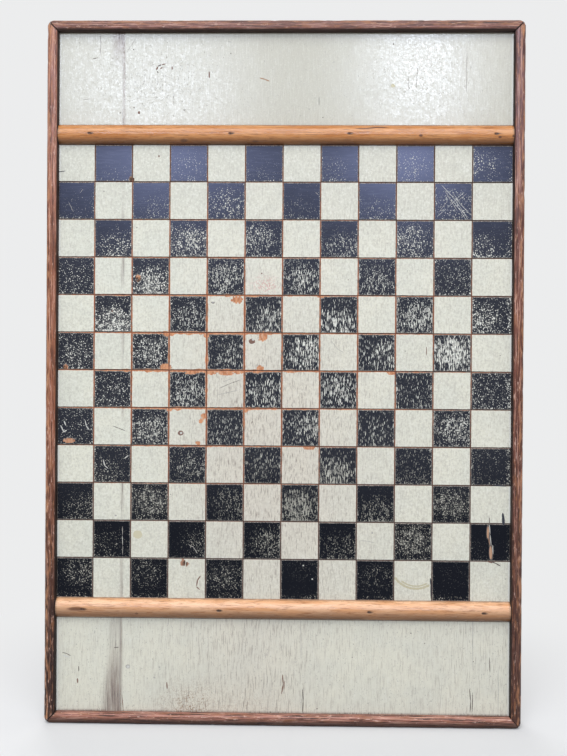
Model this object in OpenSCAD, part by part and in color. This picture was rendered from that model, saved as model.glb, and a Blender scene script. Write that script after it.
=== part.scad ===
// Double-ended game board with a chequered field and a tray at each end.
// It stands on its foot edge, with the playing face towards -Y.
// The origin is the middle of the footprint, on the surface that the board stands on.

/* [Playing field] */
// Side of one square
square = 38.1; // [28:0.1:45]
// Squares along each side of the field
squares = 12; // [8:2:12]
// Extra width that the first column has beyond a full square, or what it lacks where this is below 0
left_over = -1.5; // [-3:0.1:3]
// Extra width of the last column
right_over = 2.1; // [-3:0.1:3]
// Extra height of the first row
head_over = -1.2; // [-3:0.1:3]
// Extra height of the last row
foot_over = 2.3; // [-3:0.1:3]
// Width of the V line scribed between two squares
line_w = 1.4; // [0.8:0.1:2.4]
// Thickness of the paint
coat_t = 0.3; // [0.2:0.05:0.6]

/* [End trays] */
// Height of the tray above the field
upper_tray = 92.6; // [50:0.1:140]
// Height of the tray below the field
lower_tray = 94.6; // [50:0.1:140]

/* [Boards] */
// Thickness of the two boards
board_t = 19; // [15:0.5:25]
// Width of the narrow board, at its face
narrow_w = 65.5; // [50:0.5:100]
// Hairline that has opened between the boards
seam_gap = 0.3; // [0.1:0.1:1]
// Thickness of the tongue on the wide board
tongue_t = 6; // [4:0.5:7]
// Length of the tongue
tongue_len = 7; // [5:0.5:9]
// Room past the end of the tongue
tongue_room = 0.5; // [0.2:0.1:1]

/* [Edge strips] */
// Width of a strip, seen from the front
strip_w = 11.4; // [9:0.1:16]
// Height of a strip above the face of the boards
strip_proud = 8; // [5:0.5:12]
// Radius of the strip's edge next to the face
strip_inner_r = 3.5; // [1:0.25:5]
// Radius of the strip's outer edge in front
strip_outer_r = 4; // [2:0.25:5]
// Radius of the strip's outer edge behind
strip_back_r = 1.5; // [0.5:0.25:3]
// Radius of the knocked-off corners of the frame
corner_r = 7; // [3:0.5:9]

/* [Dividers] */
// Width of a half-round divider, on the face
divider_w = 20.7; // [14:0.1:26]
// Height of a divider above the face
divider_h = 8.5; // [5:0.5:12]

/* [Nails] */
// Radius of a nail's shank
nail_r = 0.9; // [0.7:0.1:1.2]
// Radius of a nail's head
nail_head_r = 1.6; // [1.4:0.1:2.2]
// Thickness of a nail's head
nail_head_t = 0.8; // [0.5:0.1:1.2]
// Length of a nail's tapered point
nail_point = 3; // [2:0.5:5]
// Length of the nails that hold the strips
strip_nail_len = 32; // [24:1:36]
// Length of the nails that hold the dividers
divider_nail_len = 22; // [16:1:24]
// Depth that a divider's nails are set below its crown
nail_set = 0.4; // [0.2:0.1:1]
// Nails along each side strip
side_nails = 6; // [4:1:8]
// Nails along the head strip, and along the foot strip
end_nails = 4; // [3:1:6]
// Distance of a strip's first and last nail from the end of its opening
nail_inset = 30; // [30:1:40]
// Places of the nails in the upper divider, as shares of its length
upper_nails = [0.07, 0.38, 0.64, 0.96]; // [0.05:0.01:0.97]
// Places of the nails in the lower divider, as shares of its length
lower_nails = [0.06, 0.36, 0.69, 0.94]; // [0.05:0.01:0.97]

/* [Hidden] */
$fn = 64;

// Overlap that lets a cut run clear of the face it starts from
clear = 1;

// The face of the boards, across and up
panel_w = squares * square + left_over + right_over;
field_h = squares * square + head_over + foot_over;
panel_h = upper_tray + divider_w + field_h + divider_w + lower_tray;

// Heights above the surface that the board stands on
panel_foot = strip_w;
lower_divider_z = panel_foot + lower_tray + divider_w / 2;
field_foot = panel_foot + lower_tray + divider_w;
field_head = field_foot + field_h;
upper_divider_z = field_head + divider_w / 2;
panel_head = panel_foot + panel_h;

// Depths, from the highest crown in front to the flat back
depth = board_t + max(strip_proud, divider_h);
back_y = depth / 2;
face_y = back_y - board_t;
coat_y = face_y - coat_t;
mid_board_y = face_y + board_t / 2;

// Edges of the boards and of their joint
seam_x = -panel_w / 2 + narrow_w;
groove_len = tongue_len - seam_gap + tongue_room;

// Circle whose segment is the section of a divider
divider_r = (divider_w * divider_w / 4 + divider_h * divider_h) / (2 * divider_h);

// Places of the lines that bound the columns and the rows, counted from the left and from the head
function column_x(i) =
    i <= 0 ? -panel_w / 2 : i >= squares ? panel_w / 2 : left_over + i * square - panel_w / 2;
function row_z(i) =
    i <= 0 ? field_head : i >= squares ? field_foot : field_head - head_over - i * square;

// Half of a scribed line, where there is one
function half_line(i) = i > 0 && i < squares ? line_w / 2 : 0;

// Places of the nails in a row, from the middle of an opening of this length
function nail_row(opening, count) =
    [for (i = [0 : count - 1]) -opening / 2 + nail_inset + i * (opening - 2 * nail_inset) / (count - 1)];

// A nail with its head's top at the origin and its point towards -Z
module nail(len) {
    translate([0, 0, -nail_head_t]) cylinder(h = nail_head_t, r = nail_head_r);
    translate([0, 0, nail_point - len]) cylinder(h = len - nail_point - nail_head_t, r = nail_r);
    translate([0, 0, -len]) cylinder(h = nail_point, r1 = nail_r / 3, r2 = nail_r);
}

// Section of an edge strip: X is depth and Y is the distance outwards from the boards
module strip_section() {
    front = face_y - strip_proud;
    difference() {
        translate([front, 0]) square([back_y - front, strip_w]);
        translate([front, 0]) edge_waste(strip_inner_r);
        translate([front, strip_w]) mirror([0, 1]) edge_waste(strip_outer_r);
        translate([back_y, strip_w]) rotate(180) edge_waste(strip_back_r);
    }
}

// What a rounding plane takes off the corner at the origin
module edge_waste(r) {
    difference() {
        translate([-clear, -clear]) square(r + clear);
        translate([r, r]) circle(r);
    }
}

// A mitred strip along X, lying on an edge of this length, with its outer face towards +Z
module strip_blank(opening) {
    length = opening + 2 * strip_w;
    intersection() {
        translate([-length / 2, 0, 0]) rotate([90, 0, 90]) linear_extrude(length) strip_section();
        translate([0, depth / 2 + clear, 0]) rotate([90, 0, 0]) linear_extrude(depth + 2 * clear)
            polygon([[-opening / 2, 0], [opening / 2, 0], [length / 2, strip_w], [-length / 2, strip_w]]);
    }
}

// Nails of one strip, driven in from its outer face
module strip_nail_row(opening, count) {
    for (x = nail_row(opening, count)) translate([x, mid_board_y, strip_w]) nail(strip_nail_len);
}

// Each of these turns a strip, or its nails, to one edge of the boards
module to_head() { translate([0, 0, panel_head]) children(); }
module to_foot() { translate([0, 0, panel_foot]) rotate([0, 180, 0]) children(); }
module to_left() { translate([-panel_w / 2, 0, panel_foot + panel_h / 2]) rotate([0, -90, 0]) children(); }
module to_right() { translate([panel_w / 2, 0, panel_foot + panel_h / 2]) rotate([0, 90, 0]) children(); }

// Front outline of the whole board, with its corners knocked off
module frame_outline() {
    half_w = panel_w / 2 + strip_w;
    high = panel_head + strip_w;
    translate([-half_w + corner_r, 0]) square([2 * (half_w - corner_r), high]);
    translate([-half_w, corner_r]) square([2 * half_w, high - 2 * corner_r]);
    for (x = [-1, 1], z = [corner_r, high - corner_r])
        translate([x * (half_w - corner_r), z]) circle(corner_r);
}

// Cuts whatever it is given to the outline of the board
module knock_off_corners() {
    intersection() {
        children();
        translate([0, depth / 2 + clear, 0]) rotate([90, 0, 0]) linear_extrude(depth + 2 * clear)
            frame_outline();
    }
}

// A half-round divider across the boards, at this height, with its nails at these shares of its length
module divider(z, shares) {
    difference() {
        translate([-panel_w / 2, face_y, z]) rotate([90, 0, 90]) linear_extrude(panel_w) intersection() {
            translate([divider_r - divider_h, 0]) circle(divider_r);
            translate([-divider_h - clear, -divider_w / 2]) square([divider_h + clear, divider_w]);
        }
        at_divider_nails(z, shares) nail(divider_nail_len);
        at_divider_nails(z, shares) cylinder(h = nail_set + clear, r = nail_head_r);
    }
}

// Sets something at each nail of a divider, with its origin at the top of the sunken head
module at_divider_nails(z, shares) {
    for (share = shares)
        translate([(share - 0.5) * panel_w, face_y - divider_h + nail_set, z]) rotate([90, 0, 0]) children();
}

// The V lines between the squares, as bars that lie on one edge in the face
module scribed_lines() {
    side = line_w / sqrt(2);
    for (i = [1 : squares - 1]) {
        translate([column_x(i), face_y, field_foot + field_h / 2]) rotate([0, 0, 45])
            cube([side, side, field_h], center = true);
        translate([0, face_y, row_z(i)]) rotate([45, 0, 0])
            cube([panel_w + 2 * clear, side, side], center = true);
    }
}

// The part of the boards' thickness that the tongue takes, from one X to another
module tongue(from_x, to_x) {
    translate([from_x, mid_board_y - tongue_t / 2, panel_foot]) cube([to_x - from_x, tongue_t, panel_h]);
}

// Everything that is cut into the boards once they are joined
module face_work() {
    scribed_lines();
    all_strip_nails();
    all_divider_nails();
}

module all_strip_nails() {
    to_head() strip_nail_row(panel_w, end_nails);
    to_foot() strip_nail_row(panel_w, end_nails);
    to_left() strip_nail_row(panel_h, side_nails);
    to_right() strip_nail_row(panel_h, side_nails);
}

module all_divider_nails() {
    at_divider_nails(upper_divider_z, upper_nails) nail(divider_nail_len);
    at_divider_nails(lower_divider_z, lower_nails) nail(divider_nail_len);
}

// The paint of one square, counted from the head row and the left column
module square_paint(row, column) {
    left = column_x(column) + half_line(column);
    right = column_x(column + 1) - half_line(column + 1);
    head = row_z(row) - half_line(row);
    foot = row_z(row + 1) + half_line(row + 1);
    translate([left, coat_y, foot]) cube([right - left, coat_t, head - foot]);
}

// Every other square, starting with the first one or with the second one
module every_other_square(start) {
    for (row = [0 : squares - 1], column = [0 : squares - 1])
        if ((row + column) % 2 == start) square_paint(row, column);
}

// Board down the left side, with a groove in its right edge
module narrow_board() {
    color("#b5855c") difference() {
        translate([-panel_w / 2, face_y, panel_foot]) cube([narrow_w, board_t, panel_h]);
        tongue(seam_x - groove_len, seam_x + clear);
        face_work();
    }
}

// Board that fills the rest of the panel, with a tongue on its left edge
module wide_board() {
    left = seam_x + seam_gap;
    color("#ad7d55") difference() {
        union() {
            translate([left, face_y, panel_foot]) cube([panel_w / 2 - left, board_t, panel_h]);
            tongue(left - tongue_len, left);
        }
        face_work();
    }
}

// The four mitred strips nailed round the boards
module head_strip() {
    color("#8a5a4a") difference() {
        knock_off_corners() to_head() strip_blank(panel_w);
        to_head() strip_nail_row(panel_w, end_nails);
    }
}

module foot_strip() {
    color("#8a5a4a") difference() {
        knock_off_corners() to_foot() strip_blank(panel_w);
        to_foot() strip_nail_row(panel_w, end_nails);
    }
}

module left_strip() {
    color("#7c5043") difference() {
        knock_off_corners() to_left() strip_blank(panel_h);
        to_left() strip_nail_row(panel_h, side_nails);
    }
}

module right_strip() {
    color("#7c5043") difference() {
        knock_off_corners() to_right() strip_blank(panel_h);
        to_right() strip_nail_row(panel_h, side_nails);
    }
}

// Half-round bar between the upper tray and the field
module upper_divider() {
    color("#cf9c70") divider(upper_divider_z, upper_nails);
}

// Half-round bar between the field and the lower tray
module lower_divider() {
    color("#cf9c70") divider(lower_divider_z, lower_nails);
}

module strip_nails() {
    color("#4a3a33") all_strip_nails();
}

module divider_nails() {
    color("#4a3a33") all_divider_nails();
}

// Paint between the scribed lines, in two colours
module light_squares() {
    color("#d6d7cb") every_other_square(0);
}

module dark_squares() {
    color("#2c2f3d") every_other_square(1);
}

// Paint of the two end trays
module tray_paint() {
    color("#d3d5c9") {
        translate([-panel_w / 2, coat_y, panel_foot]) cube([panel_w, coat_t, lower_tray]);
        translate([-panel_w / 2, coat_y, panel_head - upper_tray]) cube([panel_w, coat_t, upper_tray]);
    }
}

narrow_board();
wide_board();
head_strip();
foot_strip();
left_strip();
right_strip();
upper_divider();
lower_divider();
strip_nails();
divider_nails();
light_squares();
dark_squares();
tray_paint();
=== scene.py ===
# %% [markdown]
# # An old painted game board
#
# The board is a panel of two pine boards, joined side by side. Four round-edged strips are nailed round
# it, and two half-round bars part the chequered field from the tray at each end. Somebody painted the
# panel ivory, scribed the squares with a blade, and laid blue-black paint on every other one.
#
# What makes such a board lovely is its age: black worn through to the ivory under it, paint that flaked
# off along the scribed lines, and stain rubbed away on the edges. So most of this lesson is about wear.

# %% The frame
import math
import random

import bmesh
import bpy
from mathutils import Matrix, Vector, noise


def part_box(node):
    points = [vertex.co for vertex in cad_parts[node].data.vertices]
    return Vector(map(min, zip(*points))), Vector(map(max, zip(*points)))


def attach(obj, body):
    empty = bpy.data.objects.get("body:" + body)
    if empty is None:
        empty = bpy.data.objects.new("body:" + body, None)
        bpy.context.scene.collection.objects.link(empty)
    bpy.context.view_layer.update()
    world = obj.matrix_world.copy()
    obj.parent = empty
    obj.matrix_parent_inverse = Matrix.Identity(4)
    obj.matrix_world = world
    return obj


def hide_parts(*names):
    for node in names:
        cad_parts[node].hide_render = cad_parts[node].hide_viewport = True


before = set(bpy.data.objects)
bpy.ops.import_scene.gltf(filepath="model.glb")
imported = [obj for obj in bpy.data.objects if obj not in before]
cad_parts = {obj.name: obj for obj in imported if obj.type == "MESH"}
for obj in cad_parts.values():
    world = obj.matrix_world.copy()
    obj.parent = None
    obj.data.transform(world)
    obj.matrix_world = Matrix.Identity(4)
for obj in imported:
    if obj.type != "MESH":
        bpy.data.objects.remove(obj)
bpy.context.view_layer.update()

MM = 0.001


def add_object(name, data):
    """Puts an object in the scene, for a mesh, a lamp or a camera."""
    made = bpy.data.objects.new(name, data)
    bpy.context.scene.collection.objects.link(made)
    return made


# %% [markdown]
# ## The board's own ruler
#
# A mark on the paint is named by its column and row, counted from the head left corner. The edges of the
# panel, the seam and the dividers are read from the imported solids. The size of a square, the places of
# knots, scuffs and flecks, and the heights where tones change are fixed numbers, to be set anew for
# another board.

# %% Places on the board
SQUARES = 12
LINE_W = 1.4 * MM

panel_lo, panel_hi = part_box("tray_paint")
field_lo, field_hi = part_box("light_squares")
board_lo, board_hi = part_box("wide_board")
upper_lo, upper_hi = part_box("upper_divider")
lower_lo, lower_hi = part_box("lower_divider")
seam_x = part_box("narrow_board")[1].x

FACE_Y = board_lo.y
COAT_Y = panel_lo.y
BACK_Y = board_hi.y
COAT_T = FACE_Y - COAT_Y
SQUARE = 38.1 * MM
RULED_FROM = (panel_lo.x - 1.5 * MM, field_hi.z + 1.2 * MM)
RULER_AT = (panel_lo.x - 2.1 * MM, panel_hi.z + 1.4 * MM)


def spot(column, row):
    """X and Z of a place given in columns and rows, such as 4.5 and 2.5 for the middle of a square."""
    return RULED_FROM[0] + column * SQUARE, RULED_FROM[1] - row * SQUARE


def board_place(x, z):
    """The column and row of a point."""
    return (x - RULED_FROM[0]) / SQUARE, (RULED_FROM[1] - z) / SQUARE


def column_x(i):
    """X of the line left of column i, counted from 0. The first column is narrow, the last one wide."""
    if i <= 0:
        return panel_lo.x
    return panel_hi.x if i >= SQUARES else spot(i, 0)[0]


def row_z(i):
    """Z of the line above row i, counted from 0. The first row is low, the last one high."""
    if i <= 0:
        return field_hi.z
    return field_lo.z if i >= SQUARES else spot(0, i)[1]


def tray_spot(across, down):
    """X and Z of a place in millimetres from a ruler laid just outside the panel's head left corner."""
    return RULER_AT[0] + across * MM, RULER_AT[1] - down * MM


print("a square is", round(SQUARE / MM, 1), "mm; the coat of paint is", round(COAT_T / MM, 2), "mm thick")

# %% [markdown]
# ## The camera
#
# The photograph was taken from about a metre away, nearly square on, by a camera turned a little to the
# left. Place, angles and lens were fitted so that the crossings of the scribed lines fall where the
# photograph has them. The distance holds only if a square is as wide as assumed.

# %% The camera
CAMERA_AT = Vector((0.0196, -1.0064, 0.3549))
TURNED_LEFT = math.radians(1.1291)
TIPPED = math.radians(-0.2589)
ROLLED = math.radians(-0.3605)
SENSOR_MM = 36
PHOTO_HIGH_PX = 756
FOCAL_PX = 991
LENS_MM = SENSOR_MM * FOCAL_PX / PHOTO_HIGH_PX

camera_data = bpy.data.cameras.new("camera")
camera_data.sensor_width = SENSOR_MM
camera_data.lens = LENS_MM
camera = add_object("camera", camera_data)
camera.matrix_world = (
    Matrix.Translation(CAMERA_AT)
    @ Matrix.Rotation(TURNED_LEFT, 4, "Z")
    @ Matrix.Rotation(TIPPED, 4, "X")
    @ Matrix.Rotation(ROLLED, 4, "Y")
    @ Matrix.Rotation(math.pi / 2, 4, "X")
)
bpy.context.scene.camera = camera
bpy.context.scene.view_settings.view_transform = "Standard"
print("the lens is", round(LENS_MM, 1), "mm")

# %% [markdown]
# ## A finish, layer by layer
#
# A painter works from the wood outwards, and so does this small helper. Most calls add a node or two and
# hand back an output. The calls start and lay build up the colour, so a finish reads as a list of layers,
# each with its colour first and then its share. Patterns take their size in metres and sit on the object's
# own coordinates, which is why they stay put when the camera moves.

# %% The finish helper
SHARP_FROM = math.radians(38)


class Nodes:
    """A tree of shader nodes, with short calls that add to it."""

    def __init__(self, tree):
        self.tree = tree

    def node(self, kind, **settings):
        made = self.tree.nodes.new(kind)
        for name, value in settings.items():
            setattr(made, name, value)
        return made

    def put(self, value, socket):
        """Links an output to a socket, or writes a plain value on it."""
        if isinstance(value, bpy.types.NodeSocket):
            self.tree.links.new(value, socket)
        elif isinstance(value, tuple) and len(value) == 3 and len(socket.default_value) == 4:
            socket.default_value = (*value, 1)
        else:
            socket.default_value = value

    def calc(self, operation, first, second=0.0, clamp=False):
        made = self.node("ShaderNodeMath", operation=operation, use_clamp=clamp)
        self.put(first, made.inputs[0])
        self.put(second, made.inputs[1])
        return made.outputs[0]

    def times(self, first, second):
        return self.calc("MULTIPLY", first, second)

    def plus(self, first, second):
        return self.calc("ADD", first, second)

    def most(self, first, second):
        return self.calc("MAXIMUM", first, second)

    def blend(self, share, under, over):
        """One colour laid over another, by a share from 0 to 1."""
        made = self.node("ShaderNodeMix", data_type="RGBA")
        self.put(share, made.inputs[0])
        self.put(under, made.inputs[6])
        self.put(over, made.inputs[7])
        return made.outputs[2]


class Finish(Nodes):
    """A material that is built up from its ground outwards."""

    def __init__(self, name, roughness=0.5):
        self.material = bpy.data.materials.new(name)
        self.material.use_nodes = True
        super().__init__(self.material.node_tree)
        self.shader = self.tree.nodes["Principled BSDF"]
        self.shader.inputs["Roughness"].default_value = roughness
        self.place = self.node("ShaderNodeTexCoord").outputs["Object"]

    def scaled(self, size, start=(0, 0, 0)):
        """Coordinates in steps of this size, one number or three, counted from a start."""
        sizes = size if isinstance(size, tuple) else (size, size, size)
        moved = self.node("ShaderNodeMapping", vector_type="POINT")
        self.put(self.place, moved.inputs["Vector"])
        moved.inputs["Scale"].default_value = [1 / s for s in sizes]
        moved.inputs["Location"].default_value = [-at / s for at, s in zip(start, sizes)]
        return moved.outputs["Vector"]

    def noise(self, size, detail=2.0, roughness=0.55, warp=0.0):
        """A cloudy pattern from 0 to 1, with blotches of about this size."""
        made = self.node("ShaderNodeTexNoise")
        for name, amount in (("Vector", self.scaled(size)), ("Scale", 1), ("Detail", detail),
                             ("Roughness", roughness), ("Distortion", warp)):
            self.put(amount, made.inputs[name])
        return made.outputs["Fac"]

    def dots(self, size):
        """Distance to the nearest of many scattered points, in steps of this size, and a value for each."""
        made = self.node("ShaderNodeTexVoronoi")
        self.put(self.scaled(size), made.inputs["Vector"])
        made.inputs["Scale"].default_value = 1
        return made.outputs["Distance"], made.outputs["Color"]

    def away(self, x, z, half_wide, half_high):
        """How far a point lies from an oval's middle: 1 on the oval's rim."""
        made = self.node("ShaderNodeVectorMath", operation="LENGTH")
        self.put(self.scaled((half_wide, 1, half_high), (x, 0, z)), made.inputs[0])
        return made.outputs["Value"]

    def level(self, value, low, high, to_low=0.0, to_high=1.0):
        """A smooth ramp: to_low below low, to_high above high."""
        made = self.node("ShaderNodeMapRange", interpolation_type="SMOOTHSTEP")
        for name, amount in (("Value", value), ("From Min", low), ("From Max", high),
                             ("To Min", to_low), ("To Max", to_high)):
            self.put(amount, made.inputs[name])
        return made.outputs["Result"]

    def painted(self, name):
        """A value from 0 to 1 that was written on the mesh, point by point."""
        return self.node("ShaderNodeAttribute", attribute_name=name).outputs["Fac"]

    def tint(self, name):
        """A colour that was written on the mesh."""
        return self.node("ShaderNodeAttribute", attribute_name=name).outputs["Color"]

    def axis(self, letter):
        """How far along X, Y or Z a point lies, in metres."""
        split = self.node("ShaderNodeSeparateXYZ")
        self.put(self.place, split.inputs[0])
        return split.outputs[letter]

    def start(self, share, first, second):
        """Begins the colour as a blend of two, by a share from 0 to 1."""
        self.ground = self.blend(share, first, second)

    def lay(self, over, share, *more):
        """Lays a colour over what is there, by the product of its shares."""
        for factor in more:
            share = self.times(share, factor)
        self.ground = self.blend(share, self.ground, over)

    def relief(self, height, depth, strength=1.0):
        """Lights the surface as if this pattern, from 0 to 1, were raised by a depth in metres."""
        made = self.node("ShaderNodeBump")
        made.inputs["Strength"].default_value = strength
        made.inputs["Distance"].default_value = depth
        self.put(height, made.inputs["Height"])
        self.put(made.outputs["Normal"], self.shader.inputs["Normal"])

    def colour(self, value):
        self.put(value, self.shader.inputs["Base Color"])

    def shine(self, value):
        self.put(value, self.shader.inputs["Roughness"])

    def specular(self, amount):
        self.shader.inputs["Specular IOR Level"].default_value = amount


def show(name, bm, finish, replaced=(), smooth=False):
    """Makes an object of a bmesh, gives it its finish, and lets it ride on the board."""
    bmesh.ops.recalc_face_normals(bm, faces=bm.faces)
    mesh = bpy.data.meshes.new(name)
    bm.to_mesh(mesh)
    bm.free()
    if smooth:
        mesh.shade_smooth()
        mesh.set_sharp_from_angle(angle=SHARP_FROM)
    mesh.materials.append(finish.material)
    piece = add_object(name, mesh)
    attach(piece, "root")
    if replaced:
        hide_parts(*replaced)
    triangles = sum(len(face.vertices) - 2 for face in mesh.polygons)
    print(name, "has", triangles, "triangles")


def dress(names, finish):
    """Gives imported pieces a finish, and leaves their shape as it is."""
    for name in names:
        for material_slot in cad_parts[name].material_slots:
            material_slot.material = finish.material


# %% [markdown]
# ## Floor and light
#
# The board stands on a plain pale floor. One wide soft lamp hangs above it, and a weaker one stands
# behind. Two small cool ones stand in front, and the gloss of the upper tray shows each as a bright patch.
# The rest is even light from all round. Far from the board the floor turns to the same pale colour as the
# background, so no horizon shows.

# %% The floor and the background
PALE = (0.84, 0.845, 0.85)
FLOOR_HALF = 12
FLOOR_SEEN = (0.765, 0.77, 0.775)
FLOOR_BOUNCE = (0.42, 0.42, 0.42)
FLOOR_NEAR = 0.12
FLOOR_FAR = 0.6

floor_bm = bmesh.new()
bmesh.ops.create_grid(floor_bm, x_segments=1, y_segments=1, size=FLOOR_HALF)
floor_mesh = bpy.data.meshes.new("floor")
floor_bm.to_mesh(floor_mesh)
floor_bm.free()
floor = add_object("floor", floor_mesh)

paper = Finish("floor_paper", 0.9)
paper.specular(0.1)
far_off = paper.level(paper.away(0, 0, 1, 1), FLOOR_NEAR, FLOOR_FAR)
rays = paper.node("ShaderNodeLightPath")
seen = paper.calc("ADD", rays.outputs["Is Camera Ray"], rays.outputs["Is Glossy Ray"], clamp=True)
paper.colour(paper.blend(seen, FLOOR_BOUNCE, FLOOR_SEEN))
glow = paper.node("ShaderNodeEmission")
paper.put(PALE, glow.inputs["Color"])
mixed = paper.node("ShaderNodeMixShader")
paper.put(paper.times(far_off, seen), mixed.inputs[0])
paper.put(paper.shader.outputs[0], mixed.inputs[1])
paper.put(glow.outputs[0], mixed.inputs[2])
paper.put(mixed.outputs[0], paper.tree.nodes["Material Output"].inputs["Surface"])
floor_mesh.materials.append(paper.material)

ROOM_LIGHT = 0.4
world = bpy.data.worlds.new("room")
bpy.context.scene.world = world
world.use_nodes = True
room = Nodes(world.node_tree)
rays = room.node("ShaderNodeLightPath")
seen = room.calc("ADD", rays.outputs["Is Camera Ray"], rays.outputs["Is Transmission Ray"], clamp=True)
sky = room.blend(seen, (ROOM_LIGHT, ROOM_LIGHT, ROOM_LIGHT), PALE)
room.put(sky, room.tree.nodes["Background"].inputs["Color"])
print("the background is", PALE, "and the room's light is", ROOM_LIGHT)

# %% The lamps
BOARD_MIDDLE = Vector((0, FACE_Y, (board_lo.z + board_hi.z) / 2))
COOL = (0.78, 0.85, 1.0)


def hang_lamp(name, at, width, height, watts, tint=(1, 1, 1)):
    """A rectangular lamp that faces the middle of the board. The larger it is, the softer its light."""
    lamp = bpy.data.lights.new(name, "AREA")
    lamp.shape = "RECTANGLE"
    lamp.size = width
    lamp.size_y = height
    lamp.energy = watts
    lamp.color = tint
    hung = add_object(name, lamp)
    hung.location = at
    hung.rotation_euler = (BOARD_MIDDLE - Vector(at)).to_track_quat("-Z", "Y").to_euler()


hang_lamp("overhead_lamp", (0, -2.5, 3.75), 3.2, 2.6, 124)
hang_lamp("left_lamp", (-0.53, -2.5, 1.37), 0.58, 0.32, 13, COOL)
hang_lamp("right_lamp", (0.42, -2.5, 1.42), 0.22, 0.36, 12, COOL)
hang_lamp("back_lamp", (-0.6, 2.6, 2.1), 1.8, 1.4, 34)
print("four lamps are up")

# %% [markdown]
# ## Bare pine
#
# The two boards keep their imported shape, so they only need a finish. Behind, they are old unpainted pine:
# straight grain, a few knots, and a grey skin of dust. The narrow board has rings and a tone of its own,
# and the seam shows as a dark line. In front, the wood shows only where paint is missing. It is orange
# where the break is fresh. The bottom of every scribed line is dark with old dirt, and its upper side, which
# faces down, is painted black as shade.

# %% The boards' finish
KNOTS = [(-0.118, 0.545, 0.0075), (0.062, 0.231, 0.01), (0.151, 0.486, 0.006), (-0.199, 0.15, 0.006)]
DARK_KNOTS = [((2.17, 3.6), 3.0), ((3.45, 11.14), 3.0), ((1.98, 0.93), 3.0), ((0.22, 5.95), 2.0)]
RING_W = 10.5 * MM
ORANGE_AT = (4.5, 4.8)
ORANGE_REACH = (6.6 * SQUARE, 4.3 * SQUARE)

pine = Finish("bare_pine", 0.72)
swell = 0.0
core = 0.0
for knot_x, knot_z, knot_r in KNOTS:
    reach = pine.away(knot_x, knot_z, knot_r, knot_r * 1.5)
    swell = pine.plus(swell, pine.calc("DIVIDE", 1.0, pine.plus(pine.times(reach, reach), 0.6)))
    core = pine.most(core, pine.level(reach, 1.15, 0.75))

on_narrow = pine.level(pine.axis("X"), seam_x + 0.05 * MM, seam_x - 0.05 * MM)
drift = pine.noise((0.05, 0.6, 0.42), detail=1)
ring = pine.plus(pine.calc("DIVIDE", pine.axis("X"), RING_W), pine.times(drift, 7.0))
ring = pine.plus(ring, pine.times(swell, 1.6))
ring = pine.plus(ring, pine.times(on_narrow, 3.4))
late_wood = pine.level(pine.calc("SINE", pine.times(ring, 2 * math.pi)), 0.1, 0.95)
fibre = pine.noise((0.0009, 0.02, 0.06), detail=3, roughness=0.65)
pine.start(pine.level(fibre, 0.35, 0.65), (0.3, 0.19, 0.112), (0.42, 0.29, 0.18))
pine.lay((0.205, 0.108, 0.056), late_wood, 0.55)
pine.lay((0.235, 0.205, 0.17), pine.level(pine.noise(0.11, detail=4), 0.42, 0.68), 0.45)
pine.lay((0.085, 0.042, 0.022), core, 0.85)
pine.lay((0.33, 0.175, 0.09), on_narrow, 0.3)
beside_seam = pine.calc("ABSOLUTE", pine.calc("SUBTRACT", pine.axis("X"), seam_x))
pine.lay((0.05, 0.032, 0.022), pine.level(beside_seam, 0.9 * MM, 0.3 * MM, 0, 0.85))
aged = pine.ground

dulled = pine.level(pine.away(*spot(*ORANGE_AT), *ORANGE_REACH), 0.55, 1.5)
broken = pine.level(pine.noise((0.0022, 0.01, 0.006), detail=3), 0.38, 0.62)
splinters = pine.level(pine.noise((0.0012, 0.01, 0.005), detail=2), 0.56, 0.66)
pine.start(broken, (0.64, 0.3, 0.15), (0.45, 0.175, 0.08))
pine.lay((0.7, 0.48, 0.33), splinters, 0.6)
pine.lay((0.33, 0.185, 0.13), dulled, 0.75)
for place, wide in DARK_KNOTS:
    reach = pine.away(*spot(*place), wide * MM, wide * MM)
    pine.lay((0.06, 0.032, 0.02), pine.level(reach, 1.2, 0.7), pine.level(broken, 0.2, 0.7, 0.55, 1.0))

depth = pine.axis("Y")
patchy = pine.level(pine.noise((0.005, 0.02, 0.005), detail=3), 0.46, 0.66)
in_line = pine.blend(patchy, (0.58, 0.215, 0.105), (0.22, 0.1, 0.062))
in_line = pine.blend(pine.times(dulled, 0.88), in_line, (0.105, 0.072, 0.06))
pine.lay(in_line, pine.level(depth, FACE_Y + 0.02 * MM, FACE_Y + 0.2 * MM))
line_floor = pine.level(depth, FACE_Y + 0.35 * MM, FACE_Y + LINE_W * 0.48)
# painted shade: faces that look down, like the upper side of each scribed line, are darkened in colour; the
# line's bottom holds dirt
facing = pine.node("ShaderNodeSeparateXYZ")
pine.put(pine.node("ShaderNodeNewGeometry").outputs["Normal"], facing.inputs[0])
down_faces_painted_shade = pine.level(facing.outputs["Z"], -0.35, -0.6)
pine.lay((0.04, 0.028, 0.024), pine.most(pine.times(line_floor, 0.75), pine.times(down_faces_painted_shade, 0.93)))
in_front = pine.level(depth, FACE_Y + 1.6 * MM, FACE_Y + 1.3 * MM)
pine.colour(pine.blend(in_front, aged, pine.ground))
pine.relief(pine.calc("SUBTRACT", fibre, pine.times(late_wood, 0.35)), 0.25 * MM, 0.7)
dress(("narrow_board", "wide_board"), pine)
print("bare pine with", len(KNOTS), "knots")

# %% The nails' finish
iron = Finish("nail_iron", 0.62)
rust = iron.noise(0.0012, detail=3)
iron.colour(iron.blend(iron.level(rust, 0.42, 0.6), (0.04, 0.031, 0.028), (0.15, 0.062, 0.03)))
iron.shader.inputs["Metallic"].default_value = 0.45
iron.relief(rust, 0.15 * MM, 0.6)
dress(("strip_nails", "divider_nails"), iron)
print("nails are rusty iron")

# %% [markdown]
# ## Where the wear is
#
# Wear is not spread evenly. Pieces and hands slid over the middle of the board, so black is gone there
# most, and each square lost most towards its foot. The places in these lists were chosen one by one. Most
# shares of the rubbed places were then typed again, to bring each square near its brightness in the
# photograph. Each place is given in columns and rows, and the functions turn the lists into a value for
# any point of the paint.

# %% Places of wear
RUB_REACH = 0.42

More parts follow.
